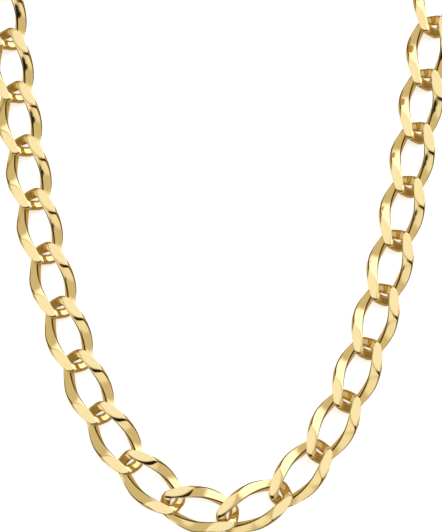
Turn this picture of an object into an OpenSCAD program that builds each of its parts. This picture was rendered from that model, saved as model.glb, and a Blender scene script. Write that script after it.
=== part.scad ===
// Open curb chain necklace with a lobster clasp, laid flat with its front face up.
// Millimetres. +Z is the front face, +Y runs from the front centre to the back of the neck.
// Every link is one squared wire bent to an oval, twisted about its long axis and ground flat.

/* [Chain] */
// Number of links in the whole chain
link_count = 34; // [32:2:36]
// Distance from one link to the next along the chain
link_pitch = 13; // [12.8:0.1:13.4]
// Pitches over which the front curve rises to 45 degrees
drape_sag = 1.47; // [1.47:0.01:1.8]
// Sideways shift of the lowest point along the chain, in pitches
drape_phase = 0.2; // [0:0.05:0.25]
// How far each link slips sideways in the next at the front centre, where the chain bends most
front_slip = 0.8; // [0:0.1:0.8]
// Pitches from the front centre to where a strand starts to turn towards the clasp
turn_start = 11; // [10.5:0.5:11]
// How much each pitch turns after that, in degrees
turn_rate = 13; // [12:0.5:13]

/* [Link] */
// Width across the outside of a link, before it is twisted
link_w = 10.3; // [10.25:0.05:10.4]
// Radial width of the squared wire
wire_w = 2.3; // [2.1:0.05:2.3]
// Depth of the squared wire
wire_h = 1.55; // [1.45:0.05:1.55]
// Slack of one link in the next, along the chain
link_play = 0.4; // [0.4:0.05:0.6]
// Angle through which each end of a link is twisted
link_twist = 45; // [44:1:47]
// Thickness left after the front and back are ground flat
ground_h = 4.2; // [4.1:0.05:4.3]

/* [Clasp] */
// Depth of the clasp body
clasp_h = 3; // [2.8:0.1:3.2]
// Outside radius of the claw
claw_r = 4; // [3.9:0.1:4.2]
// Radius of the claw's opening
claw_bore = 2.3; // [2.2:0.05:2.4]
// Wire diameter of the jump ring
jump_wire = 0.75; // [0.65:0.05:0.75]
// Wire diameter of the end ring
end_wire = 1; // [0.9:0.05:1.1]

/* [Hidden] */
function two_digits(n) = str(n < 10 ? "0" : "", n);
LINKS = [for (n = [1 : link_count]) str("link_", two_digits(n))];
$fn = 48;

gold = "gold";
pale_gold = "khaki";
spring_steel = "silver";

oval_power = 3.5;        // 2 is an ellipse, higher is squarer
wire_chamfer = 0.45;
side_swell = 0.1;        // share by which the wire is wider along the sides of a link
ring_steps = 32;         // slices around a link
slip_reach = 1.5;        // in links
back_reach = 6;          // how far the clasp stands out behind the links
half_len = (link_pitch + link_play + wire_w) / 2;   // centreline half length
half_wid = (link_w - (1 + side_swell) * wire_w) / 2; // centreline half width

jump_r = 2.3;            // centreline radius of the jump ring
jump_tilt = 48;          // lean of the jump ring out of the chain's plane
end_r = 2.8;
end_tilt = 32;
ring_gap = 0.12;         // space left between a ring and what it hangs in

eye_r = 2.15;            // the clasp's eye
eye_bore = 1.4;
eye_h = 0.9;
eye_gap = 0.45;          // the jump ring crosses the eye at a slant
clasp_turn = -10;        // the clasp carries on the curve of the strand
housing = [4.9, 0];      // centre and radius of the clasp's housing
housing_r = 3;
claw = [9.2, 0];         // centre of the claw
pivot = [5.6, -1.9];     // axis of the lever
rivet_r = 0.45;
rivet_play = 0.03;
rivet_head_r = 0.7;
rivet_head_h = 0.2;
neck_at_eye = 1.7;       // half widths of the neck from the eye to the housing
neck_at_housing = 2.4;
slot_h = 1.3;            // slot that the lever swings in
slot_top = -0.2;
slot_from = 2.6;
slot_len = 9;
lever_h = 1.1;
lever_play = 0.1;
hub_r = 1.3;             // the lever's hub is thinner, to leave room for the spring's coil
hub_h = 0.75;
coil_room = 1.25;
spring_r = 0.8;
spring_wire = 0.24;
gate_reach = 5.15;       // from the pivot to the tip of the lever
gate_top = -0.6;         // the gate's end of the claw, below the claw's centre
gate_gap = 0.15;
thumb = [-2.3, -2.5];    // the lever's thumb pad, from the pivot
thumb_r = 0.75;
edge = 0.4;              // bevel of the clasp body

// ---- layout: headings of the links, then their places ----
function heading(s) = sign(s) * (atan(min(abs(s), turn_start) / drape_sag)
                                 + turn_rate * max(0, abs(s) - turn_start));
function link_heading(i) = heading(i + 0.5 - link_count / 2 + drape_phase);
function direction(a) = [cos(a), sin(a)];

// the slip fades out over a few links to each side of the front centre
function slip(i) = front_slip * exp(-pow((i - link_count / 2) / slip_reach, 2));
function chain(i, p) = i == link_count ? [] :
    let (h = link_heading(i), step = link_pitch / 2 * direction(h), next = link_heading(i + 1))
    concat([p + step], chain(i + 1, p + 2 * step - slip(i + 1) * direction((h + next) / 2 + 90)));
loose = chain(0, [0, 0]);

function outline_of(i) = [for (a = [0 : 10 : 350])
    let (h = link_heading(i), e = oval(a) + outward(a) * wire_w / 2)
    loose[i] + e[0] * direction(h) + e[1] * direction(h + 90)];
outline = [for (i = [0 : link_count - 1]) each outline_of(i)];
xs = [for (p = outline) p[0]];
ys = [for (p = outline) p[1]];
middle = [min(xs) + max(xs), min(ys) + max(ys) + back_reach] / 2;
places = [for (p = loose) p - middle];

// ---- one link ----
// its centreline is an ellipse pushed out towards the corners of its box
function push(a) = pow(pow(abs(cos(a)), oval_power) + pow(abs(sin(a)), oval_power), -1 / oval_power);
function oval(a) = push(a) * [half_len * cos(a), half_wid * sin(a), 0];
function outward(a) = let (along = oval(a + 1) - oval(a - 1))
    [along[1], -along[0], 0] / norm(along);

// the twist turns each slice of the link about its long axis
function twist_at(x) = -link_twist * sin(90 * max(-1, min(1, x / half_len)));
function twisted(p) = let (t = twist_at(p[0]))
    [p[0], p[1] * cos(t) - p[2] * sin(t), p[1] * sin(t) + p[2] * cos(t)];

// corners of the chamfered wire section, as [radial, depth]
wire_section = [for (q = [[1, 1], [-1, 1], [-1, -1], [1, -1]])
    let (u = q[0] * wire_w / 2, v = q[1] * wire_h / 2,
         side = [u, v - q[1] * wire_chamfer], top = [u - q[0] * wire_chamfer, v])
    each (q[0] * q[1] > 0 ? [side, top] : [top, side])];

function swell(a) = 1 + side_swell * pow(sin(a), 4);
function wire_slice(a) = [for (s = wire_section)
    twisted(oval(a) + outward(a) * s[0] * swell(a) + [0, 0, s[1]])];

module curb_link() {
    sides = len(wire_section);
    points = [for (i = [0 : ring_steps - 1]) each wire_slice((i + 0.5) * 360 / ring_steps)];
    faces = [for (i = [0 : ring_steps - 1], j = [0 : sides - 1])
        let (a = i * sides, b = (i + 1) % ring_steps * sides, k = (j + 1) % sides)
        each [[a + j, a + k, b + k], [a + j, b + k, b + j]]];
    intersection() {
        polyhedron(points, faces);
        cube([2 * link_pitch, 2 * link_w, ground_h], center = true);
    }
}

module link(i) {
    color(gold)
    translate([places[i][0], places[i][1], ground_h / 2])
    rotate([0, 0, link_heading(i)])
    curb_link();
}

// ---- the two ends: each frame's origin is the middle of the last end bar, +X outwards ----
module at_end(i, side) {
    end = places[i] + side * half_len * direction(link_heading(i));
    translate([end[0], end[1], ground_h / 2])
    rotate([0, 0, link_heading(i) + (side < 0 ? 180 : 0)])
    children();
}

function hang(r, wire) = r - wire / 2 - wire_w / 2 - ring_gap;

module ring(r, wire, tilt) {
    translate([hang(r, wire), 0, 0])
    rotate([tilt, 0, 0])
    rotate_extrude() translate([r, 0]) circle(d = wire, $fn = 24);
}

module jump_ring() {
    color(gold) at_end(0, -1) ring(jump_r, jump_wire, jump_tilt);
}

module end_ring() {
    color(gold) at_end(link_count - 1, 1) ring(end_r, end_wire, end_tilt);
}

// ---- lobster clasp: its frame's origin is the middle of the eye, +X towards the claw ----
module at_clasp() {
    reach = hang(jump_r, jump_wire) + jump_r;
    at_end(0, -1)
    translate([reach, 0, 0])
    rotate([0, 0, clasp_turn])
    translate([eye_bore - jump_wire / 2 - eye_gap, 0, 0])
    children();
}

module slab(h) { linear_extrude(h, center = true) children(); }

module body_outline(inset) {
    translate(housing) circle(housing_r - inset);
    difference() {
        translate(claw) circle(claw_r - inset);
        translate(claw) circle(claw_bore + inset);
        gate_space(gate_reach + gate_gap + inset);
    }
}

// the stretch of the claw's ring that the lever closes, out to a radius about the pivot
module gate_space(reach) {
    intersection() {
        translate(pivot) circle(reach);
        claw_band(claw_bore - gate_gap, claw_r + gate_gap, gate_top);
    }
}

// the part of a ring about the claw's centre that lies below a height
module claw_band(inner, outer, top) {
    translate(claw) intersection() {
        translate([-outer, -2 * outer + top]) square(2 * outer);
        difference() {
            circle(outer);
            circle(inner);
        }
    }
}

module neck_outline() {
    polygon([[0, neck_at_eye], [0, -neck_at_eye],
             [housing[0], -neck_at_housing], [housing[0], neck_at_housing]]);
}

module clasp_body() {
    color(gold) at_clasp() difference() {
        union() {
            slab(clasp_h) body_outline(edge);
            slab(clasp_h - 2 * edge) body_outline(0);
            slab(eye_h) circle(eye_r);
            slab(eye_h) neck_outline();
        }
        cylinder(h = 2 * clasp_h, r = eye_bore, center = true);
        slab(slot_h) translate([slot_from, slot_top - slot_len]) square(slot_len);
        translate(pivot) cylinder(h = 2 * clasp_h, r = rivet_r, center = true);
    }
}

// the gate that closes the claw, and the tab behind the pivot that the thumb pulls
module lever_outline() {
    intersection() {
        translate(pivot) circle(gate_reach);
        claw_band(claw_bore + lever_play, claw_r - lever_play, gate_top - 2 * lever_play);
    }
    translate(pivot) rotate(atan2(thumb[1], thumb[0])) {
        translate([0, -thumb_r]) square([norm(thumb), 2 * thumb_r]);
        translate([norm(thumb), 0]) circle(thumb_r);
    }
}

module clasp_lever() {
    color(gold) at_clasp() difference() {
        union() {
            slab(lever_h) difference() {
                lever_outline();
                translate(pivot) circle(coil_room);
            }
            translate([0, 0, (hub_h - lever_h) / 2])
            slab(hub_h) translate(pivot) circle(hub_r);
        }
        translate(pivot) cylinder(h = 2 * clasp_h, r = rivet_r + rivet_play, center = true);
    }
}

module clasp_rivet() {
    color(pale_gold) at_clasp() translate(pivot) {
        cylinder(h = clasp_h + rivet_head_h / 2, r = rivet_r, center = true);
        for (side = [-1, 1]) translate([0, 0, side * (clasp_h + rivet_head_h) / 2])
            cylinder(h = rivet_head_h, r = rivet_head_r, center = true);
    }
}

// one coil about the rivet beside the lever's hub, with a leg on the housing's wall
module lever_spring() {
    lift = hub_h - lever_h / 2 + spring_wire / 2 + lever_play / 2;
    leg = slot_top - pivot[1] - lever_play / 2;
    color(spring_steel) at_clasp() translate([pivot[0], pivot[1], lift]) {
        rotate_extrude() translate([spring_r, 0]) circle(d = spring_wire, $fn = 16);
        translate([-spring_r, 0, 0]) rotate([-90, 0, 0])
            cylinder(h = leg, d = 0.8 * spring_wire, $fn = 16);
    }
}

for (i = [0 : link_count - 1]) link(i);
jump_ring();
clasp_body();
clasp_lever();
clasp_rivet();
lever_spring();
end_ring();
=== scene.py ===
"""Looks for an open curb chain necklace, laid flat on a pale table with its front face up."""
import math

import bpy
import bmesh
from mathutils import Matrix, Vector


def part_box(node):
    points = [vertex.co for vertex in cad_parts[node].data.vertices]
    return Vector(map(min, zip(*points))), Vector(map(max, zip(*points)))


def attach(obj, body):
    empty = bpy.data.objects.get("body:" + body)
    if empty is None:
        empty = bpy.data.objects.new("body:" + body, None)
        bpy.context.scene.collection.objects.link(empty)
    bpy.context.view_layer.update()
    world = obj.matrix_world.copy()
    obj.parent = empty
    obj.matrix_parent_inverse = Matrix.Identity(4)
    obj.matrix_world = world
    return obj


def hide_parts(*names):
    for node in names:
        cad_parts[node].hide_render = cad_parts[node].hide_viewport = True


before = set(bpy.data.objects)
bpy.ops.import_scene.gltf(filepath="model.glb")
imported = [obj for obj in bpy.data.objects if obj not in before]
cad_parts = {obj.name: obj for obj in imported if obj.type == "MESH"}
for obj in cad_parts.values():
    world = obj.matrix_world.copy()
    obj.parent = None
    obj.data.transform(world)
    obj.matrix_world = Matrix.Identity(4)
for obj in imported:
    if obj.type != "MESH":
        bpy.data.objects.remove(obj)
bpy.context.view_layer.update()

MM = 0.001

# ---- values shared with the CAD model, in millimetres and degrees ----
LINK_COUNT = 34
LINK_PITCH = 13.0
DRAPE_SAG = 1.47
DRAPE_PHASE = 0.2
FRONT_SLIP = 0.8
SLIP_REACH = 1.5
TURN_START = 11.0
TURN_RATE = 13.0
WIRE_W = 2.3
WIRE_H = 1.55
SIDE_SWELL = 0.1        # share by which the wire is wider along a link's sides
LINK_W = 10.3
LINK_PLAY = 0.4
HALF_LEN = (LINK_PITCH + LINK_PLAY + WIRE_W) / 2
HALF_WID = (LINK_W - (1 + SIDE_SWELL) * WIRE_W) / 2
LINK_TWIST = 45.0
GROUND_H = 4.2
OVAL_POWER = 3.5

JUMP_R = 2.3
JUMP_WIRE = 0.67        # 0.75 in the CAD, where it grazes the eye at the clasp's upper limit
JUMP_TILT = 48.0
END_R = 2.8
END_WIRE = 1.0
END_TILT = 32.0
RIVET_R = 0.45
RIVET_LENGTH = 3.0      # between the heads

# ---- the visual link's finish ----
SLICES = 224
SLOPE_STEP = 0.004      # radians each way that the oval's slope is measured over
SIDE_RADIUS = 0.34      # edge rounding along the sides of a link
END_RADIUS = 0.75       # and at its ends, where the next link wears it
WORN_FROM = 0.62        # shares of the half length where the end rounding starts
WORN_OVER = 0.25        # and over which it grows to its full size
END_SHADE_FADE = 0.7         # share of the painted edge shade that fades out there
CORNER_STEPS = 5
WIDE_STEPS = 10
DEEP_STEPS = 7
RIM_WIDTH = 0.12        # width of the line of painted shade where a ground flat meets the side of the wire
SIDE_MARGIN = 0.02      # how far below its wide face a point counts as the wire's side
EDGE_FADE = 0.1         # height over which the painted shade along an edge gives way to a ground flat
GROUND_SOFTNESS = 0.20  # how gently the ground flats run out


def cosd(a):
    return math.cos(math.radians(a))


def sind(a):
    return math.sin(math.radians(a))


# ---- where each link lies ----
def heading(s):
    a = abs(s)
    turn = math.degrees(math.atan(min(a, TURN_START) / DRAPE_SAG))
    return math.copysign(turn + TURN_RATE * max(0.0, a - TURN_START), s)


def link_heading(i):
    return heading(i + 0.5 - LINK_COUNT / 2 + DRAPE_PHASE)


def link_places():
    """The centre of each link in millimetres, found from the first link's CAD solid."""
    x, y, places = 0.0, 0.0, []
    for i in range(LINK_COUNT):
        h, after = link_heading(i), link_heading(i + 1)
        dx, dy = LINK_PITCH / 2 * cosd(h), LINK_PITCH / 2 * sind(h)
        places.append(Vector((x + dx, y + dy, GROUND_H / 2)))
        slip = FRONT_SLIP * math.exp(-(((i + 1 - LINK_COUNT / 2) / SLIP_REACH) ** 2))
        side = (h + after) / 2 + 90
        x += 2 * dx - slip * cosd(side)
        y += 2 * dy - slip * sind(side)
    lo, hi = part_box("link_01")
    shift = (lo + hi) / 2 / MM - places[0]
    return [p + shift for p in places]


# ---- the shape of one link ----
def oval(a):
    c, s = math.cos(a), math.sin(a)
    k = (abs(c) ** OVAL_POWER + abs(s) ** OVAL_POWER) ** (-1 / OVAL_POWER)
    return k * HALF_LEN * c, k * HALF_WID * s


def rounded_section(radius):
    """The wire's section as (radial, depth, edge) points; edge is 1 on a rounded corner's crown,
    where the painted edge shade is full.
    """
    w, h = WIRE_W / 2 - radius, WIRE_H / 2 - radius
    corners = [(w, h, 0), (-w, h, 90), (-w, -h, 180), (w, -h, 270)]
    points = []
    for k, (cx, cy, start) in enumerate(corners):
        for j in range(CORNER_STEPS + 1):
            a = start + 90 * j / CORNER_STEPS
            crown = sind(180 * j / CORNER_STEPS)
            points.append((cx + radius * cosd(a), cy + radius * sind(a), crown))
        nx, ny, angle = corners[(k + 1) % 4]
        x0, y0, _ = points[-1]
        x1, y1 = nx + radius * cosd(angle), ny + radius * sind(angle)
        steps = WIDE_STEPS if k % 2 == 0 else DEEP_STEPS
        for j in range(1, steps):
            t = j / steps
            points.append((x0 + (x1 - x0) * t, y0 + (y1 - y0) * t, 0.0))
    return points


def ground(z):
    """Limits a height to the ground flats, rounding over the edge of the flat."""
    limit = GROUND_H / 2
    soft = -GROUND_SOFTNESS * math.log(
        math.exp(-abs(z) / GROUND_SOFTNESS) + math.exp(-limit / GROUND_SOFTNESS))
    return math.copysign(max(soft, 0.0), z)


def smooth(t):
    t = max(0.0, min(1.0, t))
    return t * t * (3 - 2 * t)


def link_mesh():
    """One link about its own centre, with an attribute named edge that weights the painted shade
    along its edges.
    """
    mesh = bpy.data.meshes.new("curb_link")
    verts, faces, edges = [], [], []
    for i in range(SLICES):
        a = 2 * math.pi * (i + 0.5) / SLICES
        x, y = oval(a)
        x0, y0 = oval(a - SLOPE_STEP)
        x1, y1 = oval(a + SLOPE_STEP)
        size = math.hypot(x1 - x0, y1 - y0)
        ox, oy = (y1 - y0) / size, -(x1 - x0) / size
        to_end = smooth((abs(x) - WORN_FROM * HALF_LEN) / (WORN_OVER * HALF_LEN))
        swell = 1 + SIDE_SWELL * math.sin(a) ** 4
        section = rounded_section(SIDE_RADIUS + (END_RADIUS - SIDE_RADIUS) * to_end)
        for u, v, crown in section:
            px, py = x + ox * u * swell, y + oy * u * swell
            t = -LINK_TWIST * sind(90 * max(-1.0, min(1.0, px / HALF_LEN)))
            height = py * sind(t) + v * cosd(t)
            verts.append((px * MM, (py * cosd(t) - v * sind(t)) * MM, ground(height) * MM))
            # edge weight: painted shade on the corners' crowns and where a ground flat meets the
            # side, in place of the dark surround these edges reflect
            past = abs(height) - GROUND_H / 2
            on_side = abs(v) < WIRE_H / 2 - SIDE_MARGIN
            rim = math.exp(-(past / RIM_WIDTH) ** 2) if on_side else 0.0
            corner = crown * (1 - END_SHADE_FADE * to_end) * smooth(0.5 - past / EDGE_FADE)
            edges.append(max(rim, corner))
    count = len(verts) // SLICES
    for i in range(SLICES):
        a, b = i * count, (i + 1) % SLICES * count
        for j in range(count):
            k = (j + 1) % count
            faces.append((a + j, a + k, b + k, b + j))
    mesh.from_pydata(verts, [], faces)
    mesh.update()
    bm = bmesh.new()
    bm.from_mesh(mesh)
    bmesh.ops.recalc_face_normals(bm, faces=bm.faces)
    for f in bm.faces:
        f.smooth = True
    bm.to_mesh(mesh)
    bm.free()
    mesh.attributes.new("edge", "FLOAT", "POINT").data.foreach_set("value", edges)
    return mesh


# ---- materials ----
WARMER = (1.0, 0.95, 0.86)              # tone of the smears, against the metal's own
PAINTED_EDGE_SHADE = (0.03, 0.015, 0.005, 1.0)   # colour of the painted shade along the edges, standing in for the dark surround they reflect


def metal(name, color, roughness):
    """Polished metal with fine rubbed scratches, soft smears and dark lines of painted shade along
    its edges.
    """
    mat = bpy.data.materials.new(name)
    mat.use_nodes = True
    nodes, links = mat.node_tree.nodes, mat.node_tree.links
    bsdf = nodes["Principled BSDF"]
    bsdf.inputs["Metallic"].default_value = 1.0
    bsdf.inputs["Specular Tint"].default_value = (1.0, 0.97, 0.86, 1.0)

    where = nodes.new("ShaderNodeTexCoord")
    info = nodes.new("ShaderNodeObjectInfo")
    offset = nodes.new("ShaderNodeVectorMath")
    offset.operation = "ADD"
    links.new(where.outputs["Object"], offset.inputs[0])
    links.new(info.outputs["Random"], offset.inputs[1])

    smears = nodes.new("ShaderNodeTexNoise")
    smears.inputs["Scale"].default_value = 260.0
    smears.inputs["Detail"].default_value = 3.0
    links.new(offset.outputs[0], smears.inputs["Vector"])

    rough = nodes.new("ShaderNodeMapRange")
    rough.inputs["From Min"].default_value = 0.3
    rough.inputs["From Max"].default_value = 0.7
    rough.inputs["To Min"].default_value = roughness * 0.8
    rough.inputs["To Max"].default_value = roughness * 1.35
    links.new(smears.outputs["Fac"], rough.inputs["Value"])
    links.new(rough.outputs["Result"], bsdf.inputs["Roughness"])

    tone = nodes.new("ShaderNodeMix")
    tone.data_type = "RGBA"
    tone.inputs[6].default_value = (*color, 1.0)
    tone.inputs[7].default_value = (*(c * k for c, k in zip(color, WARMER)), 1.0)
    links.new(smears.outputs["Fac"], tone.inputs[0])
    # painted shade: the edge attribute mixes a painted dark colour into the base colour along the
    # edges
    edge = nodes.new("ShaderNodeAttribute")
    edge.attribute_name = "edge"
    edge_shade_mix = nodes.new("ShaderNodeMix")
    edge_shade_mix.data_type = "RGBA"
    edge_shade_mix.inputs[7].default_value = PAINTED_EDGE_SHADE
    links.new(edge.outputs["Fac"], edge_shade_mix.inputs[0])
    links.new(tone.outputs[2], edge_shade_mix.inputs[6])
    links.new(edge_shade_mix.outputs[2], bsdf.inputs["Base Color"])

    stretch = nodes.new("ShaderNodeMapping")
    stretch.inputs["Scale"].default_value = (900.0, 9000.0, 9000.0)
    links.new(offset.outputs[0], stretch.inputs["Vector"])
    scratches = nodes.new("ShaderNodeTexNoise")
    scratches.inputs["Scale"].default_value = 1.0
    scratches.inputs["Detail"].default_value = 2.0
    links.new(stretch.outputs[0], scratches.inputs["Vector"])
    bump = nodes.new("ShaderNodeBump")
    bump.inputs["Strength"].default_value = 0.035
    bump.inputs["Distance"].default_value = 0.00002
    links.new(scratches.outputs["Fac"], bump.inputs["Height"])
    links.new(bump.outputs["Normal"], bsdf.inputs["Normal"])
    return mat


gold_links = metal("gold_links", (0.96, 0.80, 0.43), 0.10)
gold_clasp = metal("gold_clasp", (0.96, 0.80, 0.43), 0.12)
pale_gold = metal("rivet", (0.92, 0.80, 0.52), 0.16)
steel = metal("spring", (0.74, 0.75, 0.77), 0.20)

# ---- putting pieces in place; a node not named here is a body of its own ----
BODIES = {"clasp_body": "clasp", "clasp_rivet": "clasp", "clasp_lever": "lever"}


def replace_node(name, mesh, node, matrix):
    """Puts a finished mesh in the place of a CAD node and lets it move with the node's body."""
    obj = bpy.data.objects.new(name, mesh)
    bpy.context.collection.objects.link(obj)
    obj.matrix_world = matrix
    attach(obj, BODIES.get(node, node))
    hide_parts(node)
    return obj


def turned(angle, axis):
    return Matrix.Rotation(math.radians(angle), 4, axis)


def centre(node):
    lo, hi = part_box(node)
    return Matrix.Translation((lo + hi) / 2)


# ---- the links ----
curb_link = link_mesh()
curb_link.materials.append(gold_links)
for i, place in enumerate(link_places()):
    where = Matrix.Translation(place * MM) @ turned(link_heading(i), "Z")
    replace_node(f"polished_link_{i + 1:02d}", curb_link, f"link_{i + 1:02d}", where)


# ---- the rings and the rivet, turned from a profile of (radius, height) points ----
def lathe(name, profile, closed, material, steps=96):
    """Turns a profile about Z. An open profile starts and ends on the axis."""
    bm = bmesh.new()
    rows = []
    for radius, z in profile:
        if radius == 0:
            rows.append([bm.verts.new((0, 0, z * MM))] * steps)
        else:
            rows.append([bm.verts.new((radius * cosd(360 * k / steps) * MM,
                                       radius * sind(360 * k / steps) * MM, z * MM))
                         for k in range(steps)])
    last = len(rows) if closed else len(rows) - 1
    for j in range(last):
        near, far = rows[j], rows[(j + 1) % len(rows)]
        for k in range(steps):
            n = (k + 1) % steps
            corners = [near[k], near[n], far[n], far[k]]
            bm.faces.new(list(dict.fromkeys(corners)))
    bmesh.ops.recalc_face_normals(bm, faces=bm.faces)
    for f in bm.faces:
        f.smooth = True
    mesh = bpy.data.meshes.new(name)
    bm.to_mesh(mesh)
    bm.free()
    mesh.materials.append(material)
    return mesh


def ring_profile(radius, wire, steps=24):
    return [(radius + wire / 2 * cosd(360 * k / steps), wire / 2 * sind(360 * k / steps))
            for k in range(steps)]


jump_ring = lathe("jump_ring_wire", ring_profile(JUMP_R, JUMP_WIRE), True, gold_clasp)
lean = turned(link_heading(0) + 180, "Z") @ turned(JUMP_TILT, "X")
replace_node("polished_jump_ring", jump_ring, "jump_ring", centre("jump_ring") @ lean)

end_ring = lathe("end_ring_wire", ring_profile(END_R, END_WIRE), True, gold_clasp)
lean = turned(link_heading(LINK_COUNT - 1), "Z") @ turned(END_TILT, "X")
replace_node("polished_end_ring", end_ring, "end_ring", centre("end_ring") @ lean)

# the rivet's heads are peened into low domes
dome = [(0.0, 0.20), (0.20, 0.192), (0.40, 0.165), (0.56, 0.12), (0.66, 0.06), (0.70, 0.0)]
top = [(radius, RIVET_LENGTH / 2 + z) for radius, z in dome]
shank = [(RIVET_R, RIVET_LENGTH / 2), (RIVET_R, -RIVET_LENGTH / 2)]
bottom = [(radius, -z) for radius, z in reversed(top)]
rivet = lathe("peened_rivet_metal", top + shank + bottom, False, pale_gold, 48)
replace_node("peened_rivet", rivet, "clasp_rivet", centre("clasp_rivet"))


# ---- the cast clasp: copies of the CAD meshes, cleaned up for smooth shading ----
def cast_piece(node, name, width):
    """Short edges on the curves clamp the bevel to a hair, which only keeps the flats flat."""
    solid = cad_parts[node]
    mesh = solid.data.copy()
    bm = bmesh.new()
    bm.from_mesh(mesh)
    bmesh.ops.remove_doubles(bm, verts=bm.verts, dist=1e-7)
    bmesh.ops.dissolve_limit(bm, angle_limit=math.radians(1.5), verts=bm.verts, edges=bm.edges)
    for f in bm.faces:
        f.smooth = True
    bm.to_mesh(mesh)
    bm.free()
    mesh.materials.clear()
    mesh.materials.append(gold_clasp)
    obj = replace_node(name, mesh, node, solid.matrix_world.copy())
    bevel = obj.modifiers.new("rounded_edges", "BEVEL")
    bevel.width = width * MM
    bevel.segments = 3
    bevel.limit_method = "ANGLE"
    bevel.angle_limit = math.radians(30)
    obj.modifiers.new("even_shading", "WEIGHTED_NORMAL")


cast_piece("clasp_body", "cast_clasp_body", 0.20)
cast_piece("clasp_lever", "cast_clasp_lever", 0.10)

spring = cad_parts["lever_spring"]
spring.data.materials.clear()
spring.data.materials.append(steel)

# ---- floor, camera and light ----
FLOOR_REACH = 3.0       # metres
floor_mesh = bpy.data.meshes.new("table")
corners = [(x * FLOOR_REACH, y * FLOOR_REACH, 0) for x, y in ((-1, -1), (1, -1), (1, 1), (-1, 1))]
floor_mesh.from_pydata(corners, [], [(0, 1, 2, 3)])
floor = bpy.data.objects.new("table", floor_mesh)
bpy.context.collection.objects.link(floor)
floor.visible_glossy = False
pale = bpy.data.materials.new("pale_table")
pale.use_nodes = True
paint = pale.node_tree.nodes["Principled BSDF"]
paint.inputs["Base Color"].default_value = (0.9, 0.9, 0.9, 1.0)
paint.inputs["Roughness"].default_value = 0.8
floor_mesh.materials.append(pale)

LOOK_AT = Vector((0.70, -39.32, GROUND_H / 2)) * MM
ELEVATION = 82.0
DISTANCE = 322.6 * MM
camera_data = bpy.data.cameras.new("camera")
camera = bpy.data.objects.new("camera", camera_data)
bpy.context.collection.objects.link(camera)
back = Vector((0.0, -cosd(ELEVATION), sind(ELEVATION)))
camera.location = LOOK_AT + back * DISTANCE
camera.rotation_euler = (-back).to_track_quat("-Z", "Y").to_euler()
camera_data.sensor_width = 36.0
camera_data.lens = 94.74
camera_data.clip_start = 0.01
camera_data.clip_end = 20.0
bpy.context.scene.camera = camera


# ---- the studio: a soft surround, with each panel laid over the ones before it ----
def toward(azimuth, polar):
    """Unit vector at an azimuth from +X and an angle from straight up, in degrees."""
    return (sind(polar) * cosd(azimuth), sind(polar) * sind(azimuth), cosd(polar))


FILL = (0.66, 0.58, 0.42)
RIM = (0.24, 0.16, 0.06)        # around the horizon
BELOW = (0.55, 0.40, 0.20)      # from under the table's level
PANELS = [
    # azimuth, polar, full within, gone beyond, colour
    (-90, 66, 16, 34, (0.95, 0.90, 0.80)),     # front wall
    (-150, 50, 14, 30, (1.0, 0.95, 0.86)),
    (45, 66, 30, 52, (1.50, 1.48, 1.52)),      # main softbox
    (90, 8, 12, 20, (1.02, 1.02, 1.04)),       # overhead panel
    (-72, 30, 13, 18, (0.01, 0.008, 0.005)),   # dark gap around the camera
    (-108, 30, 13, 18, (0.01, 0.008, 0.005)),
    (-90, 20, 10, 15, (0.01, 0.008, 0.005)),
]

world = bpy.data.worlds.new("studio")
bpy.context.scene.world = world
world.use_nodes = True
sky, sky_links = world.node_tree.nodes, world.node_tree.links
direction = sky.new("ShaderNodeTexCoord").outputs["Generated"]


def sky_mask(vector, nearest, farthest):
    """1 within an angle of a direction and 0 beyond another, fading between them."""
    dot = sky.new("ShaderNodeVectorMath")
    dot.operation = "DOT_PRODUCT"
    dot.inputs[1].default_value = vector
    sky_links.new(direction, dot.inputs[0])
    fade = sky.new("ShaderNodeMapRange")
    fade.interpolation_type = "SMOOTHSTEP"
    fade.inputs["From Min"].default_value = cosd(farthest)
    fade.inputs["From Max"].default_value = cosd(nearest)
    sky_links.new(dot.outputs["Value"], fade.inputs["Value"])
    return fade.outputs["Result"]


def sky_over(under, mask, color):
    """Lays a colour over the sky so far, or over the plain fill where there is none yet."""
    mix = sky.new("ShaderNodeMix")
    mix.data_type = "RGBA"
    mix.inputs[7].default_value = (*color, 1.0)
    if under is None:
        mix.inputs[6].default_value = (*FILL, 1.0)
    else:
        sky_links.new(under, mix.inputs[6])
    sky_links.new(mask, mix.inputs[0])
    return mix.outputs[2]


light = None
for azimuth, polar, nearest, farthest, color in PANELS:
    light = sky_over(light, sky_mask(toward(azimuth, polar), nearest, farthest), color)
DOWN = (0.0, 0.0, -1.0)
light = sky_over(light, sky_mask(DOWN, 86, 94), RIM)
light = sky_over(light, sky_mask(DOWN, 74, 84), BELOW)
sky_links.new(light, sky["Background"].inputs["Color"])
sky["Background"].inputs["Strength"].default_value = 1.0

# a soft light that only lifts the table to white
lift_data = bpy.data.lights.new("table_light", "AREA")
lift_data.shape = "DISK"
lift_data.size = 2.4
lift_data.energy = 34.0
lift_data.color = (0.94, 0.97, 1.0)
lift_data.use_shadow = False
lift = bpy.data.objects.new("table_light", lift_data)
bpy.context.collection.objects.link(lift)
lift.location = (0.3, 0.5, 1.6)
lift.rotation_euler = (-lift.location).to_track_quat("-Z", "Y").to_euler()
lift.visible_glossy = False
bpy.context.scene.view_settings.view_transform = "Standard"
